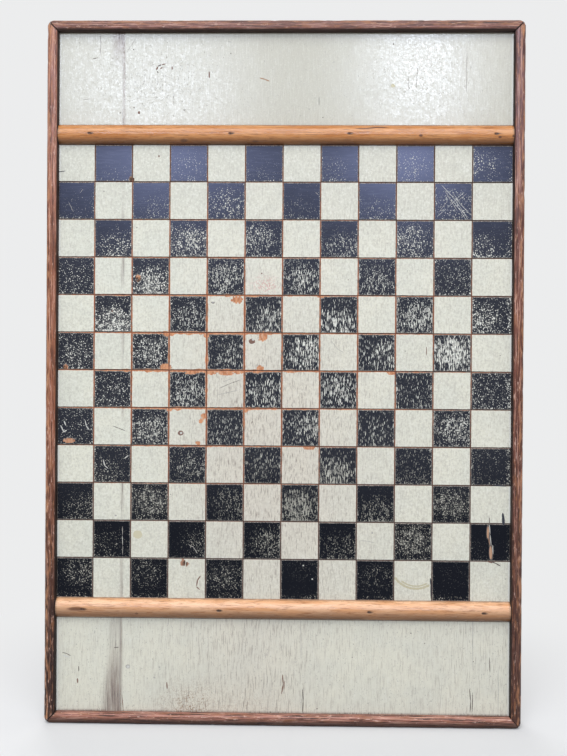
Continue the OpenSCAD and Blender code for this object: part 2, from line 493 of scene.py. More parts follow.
# Rubbed places on the black: column, row and the share of the paint that is gone
RUBBED = [
    (1.6, 0.9, 0.22), (3.5, 0.6, 0.3), (5.4, 0.9, 0.25),
    (7.3, 0.75, 0.3), (9.4, 0.6, 0.36), (11.25, 0.55, 0.4),
    (0.6, 1.7, 0.2), (2.7, 1.75, 0.32), (4.5, 1.6, 0.5),
    (6.4, 1.8, 0.28), (8.5, 1.8, 0.3), (10.5, 1.6, 0.42),
    (1.6, 2.75, 0.5), (3.5, 2.6, 0.7), (5.3, 2.5, 0.54),
    (7.6, 2.75, 0.45), (9.4, 2.55, 0.58), (11.2, 2.8, 0.5),
    (0.5, 3.6, 0.4), (2.5, 3.7, 0.75), (4.5, 3.5, 0.6),
    (6.5, 3.6, 0.56), (8.5, 3.6, 0.47), (10.5, 3.65, 0.38),
    (1.5, 4.75, 0.86), (3.5, 4.6, 0.52), (5.6, 4.7, 0.62),
    (7.5, 4.75, 0.72), (9.6, 4.6, 0.68), (11.3, 4.6, 0.58),
    (0.6, 5.6, 0.52), (2.5, 5.5, 0.66), (4.7, 5.6, 0.5),
    (6.6, 5.5, 0.78), (8.65, 5.55, 0.64), (10.5, 5.5, 0.98),
    (1.5, 6.7, 0.46), (3.5, 6.6, 0.61), (5.6, 6.6, 0.65),
    (7.5, 6.5, 0.67), (9.5, 6.95, 0.25), (11.3, 6.65, 0.45),
    (0.5, 7.8, 0.22), (2.5, 7.6, 0.7), (4.5, 7.6, 0.42),
    (6.7, 7.5, 0.64), (8.5, 7.6, 0.48), (10.6, 7.5, 0.62),
    (1.35, 8.7, 0.48), (3.6, 8.6, 0.45), (5.5, 8.5, 0.48),
    (7.4, 8.7, 0.76), (9.5, 8.85, 0.38), (11.2, 8.8, 0.28),
    (0.7, 9.65, 0.42), (2.5, 9.5, 0.72), (4.65, 9.5, 0.44),
    (6.5, 9.6, 0.8), (8.5, 9.8, 0.48), (10.5, 9.5, 0.64),
    (1.4, 10.7, 0.36), (3.85, 10.6, 0.38), (5.7, 10.6, 0.5),
    (7.6, 10.7, 0.38), (9.5, 10.5, 0.66), (11.3, 10.8, 0.2),
    (0.7, 11.4, 0.52), (2.4, 11.4, 0.42), (4.5, 11.5, 0.48),
    (6.6, 11.15, 0.2), (8.55, 11.45, 0.32), (10.6, 11.4, 0.15),
]

# Places where paint came off down to the wood: column, row, half width and half height in millimetres
CHIPS = [
    (4.8, 4.12, 6.0, 3.6), (5.49, 5.09, 4.4, 4.6), (2.92, 5.92, 5.6, 3.4), (0.24, 5.93, 2.0, 3.4),
    (0.34, 7.89, 6.0, 2.3), (3.93, 7.22, 2.2, 3.4), (3.86, 7.34, 2.4, 2.2), (3.78, 7.93, 2.2, 1.6),
    (4.14, 6.05, 5.0, 1.7), (4.52, 6.05, 7.0, 2.6), (4.86, 6.03, 5.0, 1.6), (3.6, 6.04, 6.0, 1.5),
    (3.0, 5.03, 5.0, 2.0), (5.42, 5.95, 3.4, 3.2), (2.17, 3.56, 2.6, 3.6), (3.4, 11.12, 2.2, 3.4),
    (3.52, 11.16, 1.5, 2.0), (8.92, 6.03, 5.0, 1.8), (6.72, 8.03, 6.0, 1.9), (1.98, 0.93, 2.4, 2.6),
    (7.0, 4.02, 3.0, 1.6), (3.98, 5.06, 2.6, 2.8), (3.02, 7.03, 3.0, 2.0), (5.03, 7.05, 2.4, 2.4),
]


def ripple(x, z, size, layer=0):
    """A smooth chance value from about -1 to 1, with bumps of this size in metres."""
    return noise.noise(Vector((x / size, 7.3 * layer, z / size)))


def ease(value, low, high):
    """0 below low, 1 above high, and smooth between them."""
    share = min(1, max(0, (value - low) / (high - low)))
    return share * share * (3 - 2 * share)


def bell(value, middle, reach):
    """1 at the middle, falling off smoothly over the reach."""
    return math.exp(-((value - middle) / reach) ** 2)


def hill(column, row, middle, reach):
    """1 at the middle of an oval zone, falling off smoothly over its reach in columns and rows."""
    across, down = (column - middle[0]) / reach[0], (row - middle[1]) / reach[1]
    return math.exp(-(across * across + down * down) / 2)


def flaking(column, row):
    """How readily the paint comes off along the scribed lines, from 0 to 1."""
    left_side = hill(column, row, (3.8, 5.8), (1.7, 1.6))
    return min(1, left_side + 0.25 * hill(column, row, (8.6, 5.6), (2.0, 1.6)))


def threaded(column, row):
    """How much of the wear follows the upright grain of the wood, from 0 to 1."""
    middle = 0.8 * hill(column, row, (6.8, 6.6), (2.4, 2.6))
    return min(1, 0.25 + middle + 0.4 * hill(column, row, (10.5, 5.5), (0.6, 0.6)))


def soiled(column, row):
    """How much dirt sits in the grain of the ivory, from 0 to 1."""
    middle = hill(column, row, (6.0, 8.8), (1.5, 2.6))
    beside = 0.45 * hill(column, row, (4.9, 6.8), (1.2, 3.2))
    return min(1, 0.06 + 0.8 * middle + 0.14 * ease(column, 5.5, 7.5) + beside)


def chips_near(edges, spread):
    """The chips that reach a sheet with these edges: X, Z, half width and half height, with the spread."""
    left, right, foot, head = edges
    near = []
    for column, row, half_w, half_h in CHIPS:
        x, z = spot(column, row)
        wide, high = half_w * MM + spread, half_h * MM + spread
        if left - 1.5 * wide < x < right + 1.5 * wide and foot - 1.5 * high < z < head + 1.5 * high:
            near.append((x, z, wide, high))
    return near


def is_chipped(x, z, chips):
    """Whether the paint is gone at a point. The outline of each chip wanders."""
    wander = 0.28 * ripple(x, z, 2.6 * MM, 3) + 0.16 * ripple(x, z, 1.1 * MM, 4)
    return any(math.hypot((x - chip_x) / wide, (z - chip_z) / high) < 1 + wander
               for chip_x, chip_z, wide, high in chips)


print(len(RUBBED), "rubbed places and", len(CHIPS), "chips")

# %% [markdown]
# ## A sheet of paint
#
# Paint is thin, but it has an edge, and the edge is what tells that it flaked. So each square is a real
# sheet: a grid of small faces, whose outer rows are pulled back from the scribed lines by an uneven
# amount, with chips taken out of it, thickened into a closed solid. Wear is written on its points as plain
# numbers.

# %% Laying and closing a sheet
CELL = 1.1 * MM
EDGE_BAND = 6 * MM
WAVE = 0.05 * MM


def square_edges(column, row):
    """Left, right, foot and head of a square, between the scribed lines."""
    half = LINE_W / 2
    left = column_x(column) + (half if column > 0 else 0)
    right = column_x(column + 1) - (half if column + 1 < SQUARES else 0)
    head = row_z(row) - (half if row > 0 else 0)
    foot = row_z(row + 1) + (half if row + 1 < SQUARES else 0)
    return left, right, foot, head


def squares(dark):
    """Column, row and edges of every light or every dark square."""
    for row in range(SQUARES):
        for column in range(SQUARES):
            if (row + column) % 2 == dark:
                yield column, row, square_edges(column, row)


def new_sheet_mesh(*names):
    """A mesh for sheets of paint, with a number on each point for every name."""
    bm = bmesh.new()
    return bm, [bm.verts.layers.float.new(name) for name in names]


def lay_sheet(bm, edges, cell):
    """A grid of cells, facing the front, between these edges."""
    left, right, foot, head = edges
    place = (
        Matrix.Translation(((left + right) / 2, 0, (foot + head) / 2))
        @ Matrix.Rotation(math.pi / 2, 4, "X")
        @ Matrix.Diagonal((right - left, head - foot, 1, 1))
    )
    across, up = round((right - left) / cell), round((head - foot) / cell)
    return bmesh.ops.create_grid(bm, x_segments=across, y_segments=up, size=0.5, matrix=place)["verts"]


def take_chips(bm, verts, edges, spread=0.0):
    """Takes the chips out of a sheet, and smooths the steps that they leave. Gives what stays."""
    chips = chips_near(edges, spread)
    faces = {face for v in verts for face in v.link_faces} if chips else ()
    middles = {face: face.calc_center_median() for face in faces}
    gone = [face for face, at in middles.items() if is_chipped(at.x, at.z, chips)]
    if not gone:
        return verts, False
    gone.sort(key=lambda face: face.index)
    brink = {v for face in gone for v in face.verts}
    bmesh.ops.delete(bm, geom=gone, context="FACES")
    verts = [v for v in verts if v.is_valid]
    brink = [v for v in verts if v in brink and len(v.link_edges) == 3]
    for turn in range(2):
        bmesh.ops.smooth_vert(bm, verts=brink, factor=0.5, use_axis_x=True, use_axis_z=True)
    return verts, True


def pull_back(verts, edges, loss):
    """Draws the outer rows of a sheet inwards. loss gives how far, for a side and a point."""
    left, right, foot, head = edges
    for v in verts:
        x, z = v.co.x, v.co.z
        for side, gap, way_x, way_z in (("left", x - left, 1, 0), ("right", right - x, -1, 0),
                                        ("foot", z - foot, 0, 1), ("head", head - z, 0, -1)):
            if gap < EDGE_BAND:
                moved = loss(side, x, z) * (1 - max(0, gap) / EDGE_BAND)
                v.co.x += way_x * moved
                v.co.z += way_z * moved


def close_sheet(bm, verts, ground_y, top_y, whole):
    """Thickens a sheet from the ground that it lies on to its top, which waves a little."""
    faces = sorted({face for v in verts for face in v.link_faces}, key=lambda face: face.index)
    made = bmesh.ops.extrude_face_region(bm, geom=faces)["geom"]
    for v in verts:
        v.co.y = ground_y
    for v in made:
        if isinstance(v, bmesh.types.BMVert):
            v.co.y = top_y + WAVE * (0.5 + 0.5 * ripple(v.co.x, v.co.z, 9 * MM, 5))
    if whole:
        bmesh.ops.dissolve_faces(bm, faces=faces)


def line_loss(side, x, z):
    """How far the paint has gone back from a scribed line, in metres. Sound paint runs into the line."""
    to_frame = {"left": x - panel_lo.x, "right": panel_hi.x - x,
                "foot": z - field_lo.z, "head": field_hi.z - z}
    if to_frame[side] < 2 * MM:
        return 0.04 * MM
    column, row = board_place(x, z)
    fray = 0.5 + 0.5 * ripple(x, z, 1.7 * MM, 1)
    bites = max(0, ripple(x, z, 6.5 * MM, 2) - 0.1)
    weak = flaking(column, row)
    share = {"head": 1.0, "foot": 0.4, "left": 0.35, "right": 0.35}[side]
    return (-0.3 + 0.3 * fray + share * weak * (0.55 + 1.3 * fray + 3.6 * bites)) * MM


print("cells are", round(CELL / MM, 1), "mm")

# %% [markdown]
# ## Ivory
#
# The light paint is an off-white with a touch of green. It has fine upright cracks along the grain, tiny
# dark specks, and a soft gloss with a pebbled skin. Dirt has settled in the grain in the middle of the
# board. In bands of height the ivory is darkened as painted shade, most in the upper tray.

# %% The ivory finish


def ivory_paint(name, painted_shade_bands, painted_shade_colour, blushed, thread_long, ridged, mottled, pebbled, gloss, nicked):
    """Old ivory paint with painted shade at some heights. The mesh gives soil, stain, bead highlight, blush,
    scuffs.
    """
    ivory = Finish(name)
    cloud = ivory.level(ivory.noise(0.045, detail=3), 0.35, 0.65)
    ivory.start(cloud, (0.745, 0.738, 0.615), (0.69, 0.695, 0.592))
    # painted shade: the ivory is darkened in bands of height
    for low, high, share in painted_shade_bands:
        ivory.lay(painted_shade_colour, ivory.level(ivory.axis("Z"), low, high, 0, share))
    blotches = ivory.noise(0.0065, detail=3, roughness=0.6)
    ivory.lay((0.54, 0.535, 0.455), ivory.level(blotches, 0.5, 0.66), 0.22)
    mottle = ivory.noise(0.0021, detail=3, roughness=0.7)
    ivory.lay((0.52, 0.51, 0.44), ivory.level(mottle, 0.48, 0.64), 0.96 * mottled)
    ivory.lay((0.8, 0.8, 0.72), ivory.level(mottle, 0.46, 0.36), mottled)
    soil = ivory.painted("soil")
    ivory.lay((0.6, 0.505, 0.43), soil, 0.42)
    grain = ivory.noise((0.00085, 0.02, thread_long), detail=4, roughness=0.66)
    thread_share = ivory.plus(0.132, ivory.times(soil, 0.858))
    ivory.lay((0.34, 0.29, 0.245), ivory.level(grain, 0.53, 0.64), thread_share)
    ivory.lay((0.78, 0.78, 0.72), ivory.level(grain, 0.43, 0.36), 0.25)
    stain = ivory.painted("stain")
    streaks = ivory.noise((0.0012, 0.02, 0.03), detail=4, roughness=0.68)
    ivory.lay((0.265, 0.208, 0.178), stain, ivory.level(streaks, 0.34, 0.56, 0.48, 1.0), 0.9)
    ivory.lay((0.13, 0.1, 0.09), stain, ivory.level(streaks, 0.57, 0.64))
    scratchy = ivory.noise((0.0013, 0.02, 0.002), detail=3, roughness=0.7, warp=0.6)
    scratchy = ivory.plus(scratchy, ivory.times(ivory.painted("scuffed"), 0.075))
    nicks = ivory.level(scratchy, nicked, nicked + 0.045)
    ivory.lay((0.24, 0.222, 0.205), nicks, 0.6)
    flecks = ivory.level(ivory.noise((0.0011, 0.02, 0.0016), detail=2), 0.5, 0.6)
    ivory.lay(blushed, flecks, ivory.painted("blush"))
    # painted highlight: a pale line along the panel's side edges, where the paint beads against the strips
    ivory.lay((0.82, 0.825, 0.78), ivory.painted("bead_highlight"), 0.75)
    near, chance = ivory.dots(0.0075)
    ivory.lay((0.11, 0.09, 0.075), ivory.level(near, 0.085, 0.05), ivory.level(chance, 0.45, 0.5), 0.8)
    ivory.colour(ivory.ground)
    pebble = ivory.noise(0.0011, detail=2)
    height = ivory.plus(ivory.times(grain, ridged), ivory.times(pebble, pebbled))
    ivory.relief(ivory.calc("SUBTRACT", height, ivory.times(nicks, 0.3)), 0.1 * MM, 0.8)
    ivory.shine(ivory.level(mottle, 0.3, 0.7, gloss, gloss + 0.12))
    return ivory


# Where the ivory is darkened as painted shade: from this height to that one, and how much
SQUARE_PAINTED_SHADE = [(0.46, 0.56, 0.5), (0.27, 0.16, 0.2)]
TRAY_PAINTED_SHADE = [(0.3, 0.4, 0.92)]
ivory = ivory_paint("light_paint", SQUARE_PAINTED_SHADE, (0.56, 0.555, 0.468), (0.56, 0.2, 0.19),
                    thread_long=0.0075, ridged=0.6, mottled=0.58, pebbled=0.6, gloss=0.34, nicked=0.665)
tray_ivory = ivory_paint("tray_paint", TRAY_PAINTED_SHADE, (0.492, 0.476, 0.392), (0.33, 0.225, 0.145),
                         thread_long=0.013, ridged=0.22, mottled=0.2, pebbled=0.26, gloss=0.17, nicked=0.645)
print("ivory paint is mixed")

# %% [markdown]
# ## The light squares and the trays
#
# All light squares are one piece, because they are one coat. The trays are another. Their sheets break at
# the seam of the boards, where damp has drawn a brown streak into the narrow board's side.

# %% The light squares


def seam_streak(x, z):
    """How strong the brown streak beside the seam is: widest at the foot, and back again at the head."""
    to_foot, to_head = z - panel_lo.z, panel_hi.z - z
    line = 0.8 * (1 - ease(abs(x - seam_x), 0.2 * MM, 1.9 * MM))
    at_foot = (0.36 + 0.64 * (1 - ease(to_foot, 18 * MM, 74 * MM))) * (1 - ease(to_foot, 85 * MM, 110 * MM))
    at_head = 1 - ease(to_head, 0, 42 * MM)
    width = (13 + 7 * (1 - ease(to_foot, 0, 70 * MM))) * MM
    beside = (seam_x - x) / width
    return max(line, max(at_foot, at_head) * (1 - ease(beside, 0.55, 1.15)) * ease(beside, -0.08, 0.04))


def foot_flecks(x, z):
    """Brown flecks low in the middle of the lower tray."""
    across = 0.95 * bell(x, -0.094, 0.026) + 0.26 * bell(x, -0.04, 0.045)
    low = 1 - ease(z, panel_lo.z + 6 * MM, panel_lo.z + 44 * MM)
    return across * low * (0.7 + 0.5 * ripple(x, z, 7 * MM, 15))


def scuffs(x, z):
    """How thick the tiny dents lie in the trays: most in the middle left of the upper one."""
    upper_left = bell(x, -0.13, 0.055) * bell(z, 0.648, 0.03)
    upper_right = 0.55 * bell(x, 0.125, 0.05) * bell(z, 0.65, 0.035)
    return upper_left + upper_right + 0.3 * (z < 0.3)


def seam_line(x, z):
    """How dark the seam shows through the paint of the field, as a thin broken line."""
    away = abs(x - seam_x - 1.2 * MM * ripple(0, z, 60 * MM, 13))
    return 0.62 * (1 - ease(away, 0.2 * MM, 2.4 * MM)) * ease(ripple(0, z, 45 * MM, 14), -0.45, 0.15)


light_bm, layers = new_sheet_mesh("soil", "stain", "bead_highlight", "blush")
soil_layer, stain_layer, bead_highlight_layer, blush_layer = layers
for column, row, edges in squares(dark=False):
    points, chipped = take_chips(light_bm, lay_sheet(light_bm, edges, CELL), edges)
    pull_back(points, edges, line_loss)
    for v in points:
        x, z = v.co.x, v.co.z
        v[soil_layer] = soiled(*board_place(x, z))
        v[stain_layer] = seam_line(x, z)
        # the paint's bead beside the side strips, drawn pale as a painted highlight
        v[bead_highlight_layer] = ease(abs(x), panel_hi.x - 1.6 * MM, panel_hi.x - 0.8 * MM)
        v[blush_layer] = 0.75 * hill(*board_place(x, z), (5.55, 3.75), (0.22, 0.16))
    close_sheet(light_bm, points, FACE_Y, COAT_Y, not chipped)
show("light_squares_paint", light_bm, ivory, ["light_squares"])

# %% The tray paint
TRAY_CELL = 2.2 * MM
SEAM_HALF = 0.05 * MM


def tray_loss(side, x, z):
    """The tray paint runs under the strips and dividers, and only frays at the seam."""
    at_seam = abs(x - seam_x) < 2 * MM
    return 0.04 * (1 + ripple(x, z, 5 * MM, 1)) * MM if at_seam else 0


tray_bm, layers = new_sheet_mesh("soil", "stain", "bead_highlight", "scuffed", "blush")
soil_layer, stain_layer, bead_highlight_layer, scuff_layer, fleck_layer = layers
for tray_foot, tray_head in ((panel_lo.z, lower_lo.z), (upper_hi.z, panel_hi.z)):
    for left, right in ((panel_lo.x, seam_x - SEAM_HALF), (seam_x + SEAM_HALF, panel_hi.x)):
        edges = (left, right, tray_foot, tray_head)
        points = lay_sheet(tray_bm, edges, TRAY_CELL)
        pull_back(points, edges, tray_loss)
        for v in points:
            x, z = v.co.x, v.co.z
            low = tray_foot == panel_lo.z
            soil = (0.22 if low else 0.01) + bell(x, -0.03, 0.07) * (0.55 if low else 0.06)
            soil += 0.5 * foot_flecks(x, z) + (0.2 if low else 0.1) * ease(x, 0.02, 0.2)
            v[soil_layer] = min(1, soil)
            v[stain_layer] = max(seam_streak(x, z), 0.9 * (1 - ease(z - panel_lo.z, 0.1 * MM, 2 * MM)))
            v[fleck_layer] = foot_flecks(x, z)
            # the paint's bead beside the side strips, drawn pale as a painted highlight
            v[bead_highlight_layer] = ease(abs(x), panel_hi.x - 2.2 * MM, panel_hi.x - 0.9 * MM)
            v[scuff_layer] = scuffs(x, z)
        close_sheet(tray_bm, points, FACE_Y, COAT_Y, True)
show("tray_coat", tray_bm, tray_ivory, ["tray_paint"])

# %% [markdown]
# ## Blue-black over ivory
#
# The dark squares were ivory first. The black film on top stops a little short of every line, which leaves
# a ragged pale rim. Where it is rubbed, the ivory shows as thousands of flecks: round ones in the first
# columns, and upright threads in the middle, where the wood's ridges lost their paint first. The flecks
# are far too fine for a mesh, so the finish draws them, as dense as the mesh says.
#
# The first rows have a blue-grey haze in their colour. It is stronger in two zones, called lamp_lit below,
# where lamps are mirrored in the photographed board. So it is light painted as colour, and it stays when
# the lamps change.

# %% The black finish
black = Finish("dark_paint")
worn = black.painted("worn")
upright = black.painted("upright")
painted_sheen = black.painted("painted_sheen")
clumps = black.noise((0.0042, 0.02, 0.0052), detail=3, roughness=0.6)
share = black.times(worn, black.level(clumps, 0.32, 0.68, 0.7, 1.3))


def bare_dots(size):
    """Dots where the black is gone: few and small where it is sound, and joined where it is worn."""
    near, chance = black.dots(size)
    wide = black.times(black.times(chance, chance), 0.7)
    radius = black.plus(0.05, black.times(share, black.plus(0.14, wide)))
    return black.level(black.calc("SUBTRACT", near, radius), 0.04, -0.02)


def bare_haze(size):
    """The finest wear, too small to be seen one by one: it greys the black between the dots."""
    return black.plus(black.noise(size, detail=3, roughness=0.62), black.times(share, 0.2))


across = black.calc("SUBTRACT", 1.0, upright)
round_dots = black.times(bare_dots((0.0016, 0.02, 0.0017)), black.level(across, 0.1, 0.6))
long_dots = black.times(bare_dots((0.001, 0.02, 0.0058)), black.level(upright, 0.2, 0.7))
haze = black.plus(black.times(bare_haze((0.00085, 0.02, 0.001)), across),
                  black.times(bare_haze((0.00065, 0.02, 0.0034)), upright))
gone = black.most(black.most(round_dots, long_dots), black.level(haze, 0.7, 0.76))
gone = black.times(gone, black.level(share, 0.08, 0.5, 0.42, 1.0))
brushed = black.noise((0.012, 0.02, 0.0011), detail=2)
black.start(black.painted("dust"), (0.003, 0.0044, 0.009), (0.056, 0.06, 0.078))
# painted sheen: a blue-grey reflection laid into the black's colour in the first rows, streaked by the brush
black.lay((0.15, 0.172, 0.29), painted_sheen)
black.lay((0.19, 0.212, 0.33), black.level(brushed, 0.45, 0.7), painted_sheen, 0.35)
black.lay((0.185, 0.182, 0.172), black.level(haze, 0.56, 0.72), worn, 0.38)
film = black.ground
black.start(black.level(black.noise(0.0021, detail=2), 0.4, 0.62), (0.56, 0.555, 0.5), (0.8, 0.8, 0.73))
black.lay((0.3, 0.285, 0.235), black.level(black.axis("Z"), 0.34, 0.22, 0, 0.75))
black.colour(black.blend(gone, film, black.ground))
black.relief(black.plus(black.times(gone, -0.9), black.times(brushed, 0.5)), 0.06 * MM, 0.8)
black.shine(black.level(gone, 0.0, 1.0, 0.4, 0.6))
black.specular(0.11)
print("blue-black paint is mixed")

# %% The dark squares
UNDERCOAT_T = 0.12 * MM

rim_finish = Finish("bared_undercoat", 0.6)
rim_flecks = rim_finish.level(rim_finish.noise((0.0013, 0.02, 0.0013), detail=3, roughness=0.6), 0.44, 0.62)
rim_finish.colour(rim_finish.blend(rim_flecks, (0.12, 0.108, 0.1), (0.38, 0.35, 0.305)))
rim_finish.relief(rim_flecks, 0.06 * MM, 0.6)


def rim_loss(side, x, z):
    """How far the black stops short of a scribed line: most at the head of a square."""
    fray = 0.5 + 0.5 * ripple(x, z, 1.5 * MM, 6)
    slow = 0.5 + 0.5 * ripple(x, z, 8 * MM, 7)
    column, row = board_place(x, z)
    at_strip = x < panel_lo.x + 2 * MM or x > panel_hi.x - 2 * MM
    if at_strip and side in ("left", "right"):
        return 0.3 * MM
    share = {"head": 0.6, "foot": 0.34, "left": 0.34, "right": 0.34}[side]
    uneven = 0.35 + 0.85 * fray + 0.5 * slow + 0.4 * flaking(column, row)
    return line_loss(side, x, z) + (0.1 + share * uneven) * MM


def rubbed(column, row, places):
    """Share of the black that is gone at a point, from the rubbed places near it."""
    return max([share * min(1, 1.25 * hill(column, row, (c, r), (RUB_REACH, RUB_REACH * 0.85)))
                for c, r, share in places] or [0])


under_bm = bmesh.new()
black_bm, layers = new_sheet_mesh("worn", "upright", "painted_sheen", "dust")
worn_layer, upright_layer, painted_sheen_layer, dust_layer = layers
for column, row, edges in squares(dark=True):
    points, chipped = take_chips(under_bm, lay_sheet(under_bm, edges, CELL), edges)
    pull_back(points, edges, line_loss)
    close_sheet(under_bm, points, FACE_Y, FACE_Y - UNDERCOAT_T, not chipped)

    points, chipped = take_chips(black_bm, lay_sheet(black_bm, edges, CELL), edges, 0.5 * MM)
    here = [place for place in RUBBED if max(abs(place[0] - column - 0.5), abs(place[1] - row - 0.5)) < 0.8]
    for v in points:
        at_column, at_row = board_place(v.co.x, v.co.z)
        in_column, in_row = at_column - column, at_row - row
        at_edge = 1 - min(ease(in_column, 0, 0.1), ease(1 - in_column, 0, 0.1), ease(1 - in_row, 0, 0.1))
        at_foot = (0.14 + 0.18 * ease(at_row, 1, 3) * (1 - ease(at_row, 9, 11))) * ease(in_row, 0.45, 0.95)
        middling = 0.34 * ease(at_row, 1.2, 3.5) * (1 - ease(at_row, 7.6, 10.4))
        v[worn_layer] = max(rubbed(at_column, at_row, here), at_foot, middling) + 0.25 * at_edge
        v[upright_layer] = threaded(at_column, at_row)
        # painted reflection of two lamps, added to the painted sheen of the first rows
        lamp_lit = 0.58 * hill(at_column, 0, (2.9, 0), (1.5, 1))
        lamp_lit += 0.72 * hill(at_column, 0, (9.2, 0), (1.2, 1))
        v[painted_sheen_layer] = 0.3 * bell(at_row, 0, 2.3) + lamp_lit * bell(at_row, 0, 1.8)
        v[dust_layer] = 0.34 * ease(at_row, 1, 3) * (1 - ease(at_row, 7.5, 10.5)) + 0.02
    pull_back(points, edges, rim_loss)
    close_sheet(black_bm, points, FACE_Y - UNDERCOAT_T, COAT_Y, not chipped)
show("dark_squares_undercoat", under_bm, rim_finish)
show("dark_squares_paint", black_bm, black, ["dark_squares"])

# %% [markdown]
# ## Single marks
#
# Some marks belong to this board alone: crossed scratches, a cup's ring, a drip of black, the dents and
# cracks in the trays. Each is a thin lens of colour, half sunk in the paint, and a long scratch is a row
# of them, so it tapers at its ends as a real one does. One finish serves all, with the colour on the mesh.

# %% The marks' list
PALE_INK = (0.6, 0.6, 0.56)
GREY_INK = (0.38, 0.36, 0.33)
DIRT_INK = (0.11, 0.088, 0.076)
RUST_INK = (0.18, 0.09, 0.062)
TAN_INK = (0.59, 0.545, 0.375)
RING_INK = (0.51, 0.465, 0.31)
FAINT_INK = (0.52, 0.505, 0.44)
SPLIT_INK = (0.47, 0.255, 0.15)
SOOT_INK = (0.02, 0.0225, 0.036)
WOOD_INK = (0.36, 0.2, 0.11)

# Scratches and lines by colour: width in millimetres, and the points in columns and rows
STROKES = {
    DIRT_INK: [
        (0.5, (4.35, 6.47), (4.62, 6.35), (4.89, 6.25)), (0.7, (1.52, 7.5), (1.66, 7.55), (1.84, 7.62)),
        (1.2, (11.56, 11.01), (11.68, 11.05), (11.8, 11.12)), (1, (11.51, 9.86), (11.51, 10.04)),
        (3.4, (11.48, 10.06), (11.47, 10.38)), (1.8, (11.5, 10.3), (11.54, 10.64)),
        (4.2, (11.55, 10.6), (11.56, 10.97)),
    ],
    GREY_INK: [
        (0.6, (4.3, 6.65), (4.83, 6.52)), (0.5, (4.45, 6.3), (4.7, 6.2)),
        (0.6, (1.78, 10.18), (1.785, 10.38)), (0.5, (1.79, 10.7), (1.79, 10.92)),
        (0.7, (3.56, 10.64), (3.68, 10.7), (3.78, 10.86)),
        (0.5, (10.28, 1.22), (10.42, 1.46), (10.6, 1.74)), (0.4, (10.12, 1.78), (10.34, 1.5)),
        (0.4, (10.6, 1.5), (10.84, 1.3)), (0.4, (0.6, 1.3), (0.68, 1.2)), (0.4, (0.3, 1.55), (0.42, 1.8)),
        (0.4, (6.86, 1.26), (6.94, 1.34)), (0.5, (7.3, 5.2), (7.48, 5.42), (7.62, 5.5)),
        (0.5, (7.42, 7.3), (7.52, 7.2)), (0.5, (8.12, 10.48), (8.3, 10.5), (8.48, 10.54)),
        (0.5, (1.78, 5.45), (1.79, 5.58)),
    ],
    PALE_INK: [
        (1.3, (0.21, 7.38), (0.25, 7.48)), (1.2, (0.12, 7.5), (0.2, 7.66), (0.27, 7.62)),
        (0.9, (0.77, 7.36), (0.8, 7.5), (0.88, 7.6)), (1, (1.26, 8.4), (1.3, 8.55), (1.38, 8.62)),
        (1.1, (1.84, 8.35), (1.92, 8.28)), (0.5, (1.78, 10.42), (1.79, 10.66)),
        (0.42, (10.2, 1.08), (10.5, 1.4), (10.7, 1.68), (10.88, 1.96)), (0.34, (10.08, 1.9), (10.3, 1.7)),
        (0.34, (10.36, 1.66), (10.62, 1.4), (10.78, 1.26)),
        (0.38, (10.45, 1.44), (10.7, 1.76), (10.82, 1.96)), (0.34, (10.55, 1.42), (10.94, 1.84)),
        (0.3, (10.58, 1.62), (10.9, 1.92)), (0.3, (10.5, 1.3), (10.66, 1.5)),
        (0.7, (11.51, 10.04), (11.53, 10.26)), (0.7, (11.53, 10.3), (11.56, 10.56)),
        (0.7, (11.6, 10.58), (11.61, 10.8)),
    ],
    RUST_INK: [
        (0.9, (9.82, 5.35), (9.82, 5.56)), (1.4, (3.86, 11.48), (3.79, 11.58), (3.77, 11.72)),
        (1.2, (3.77, 11.76), (3.84, 11.82)), (1.3, (11.47, 11), (11.58, 11.04)),
    ],
    FAINT_INK: [(1.2, (3.85, 11.58), (3.86, 11.72)), (0.9, (11.49, 9.8), (11.5, 9.98))],
    SPLIT_INK: [
        (2.2, (11.48, 10.1), (11.47, 10.36)), (0.7, (11.49, 10.36), (11.52, 10.56)),
        (2.9, (11.545, 10.63), (11.555, 10.92)),
    ],
    SOOT_INK: [
        (3, (11.87, 9.8), (11.88, 10.02)), (2.2, (11.86, 9.74), (11.87, 9.86)),
        (1.5, (9.965, 11.48), (9.975, 11.62)), (1.3, (9.98, 11.62), (9.985, 11.98)),
        (1.2, (9.02, 6.02), (9.03, 6.14)), (1.4, (11.6, 8.98), (11.92, 9.01)),
        (0.8, (0.02, 0.74), (0.2, 0.72)),
    ],
}

# Round marks by colour: width and height in millimetres, column and row
SPOTS = {
    RUST_INK: [
        (1.6, 1.6, 5.45, 3.42), (6.6, 5.6, 5.2, 5.22), (6, 5.2, 3.32, 7.67), (1.5, 1.8, 1.48, 4.44),
        (1.6, 2.2, 2.7, 0.32), (0.9, 1.1, 7.74, 3.58),
    ],
    DIRT_INK: [
        (3.4, 2, 4.16, 4.2), (2.2, 1.6, 2.13, 3.6), (0.9, 0.9, 2.12, 2.22), (0.9, 1.1, 1.24, 1.26),
        (1, 1.4, 5.22, 7.36), (0.9, 0.8, 9.3, 3.34), (1, 0.8, 9.26, 5.46), (1, 1, 11.76, 5.56),
        (0.9, 0.9, 3.06, 9.3), (0.8, 1.4, 7.58, 6.54),
    ],
    PALE_INK: [
        (2, 1.2, 4.16, 4.19), (2.8, 2.2, 5.23, 5.18), (3, 2.7, 3.33, 7.67), (1.4, 1.4, 6.84, 11.52),
        (1.6, 1.6, 6.6, 11.16),
    ],
    TAN_INK: [(9.5, 8.5, 2.19, 10.38)],
    GREY_INK: [(2.4, 1.6, 1.6, 9.88), (1.6, 2.2, 8.42, 10.28)],
}

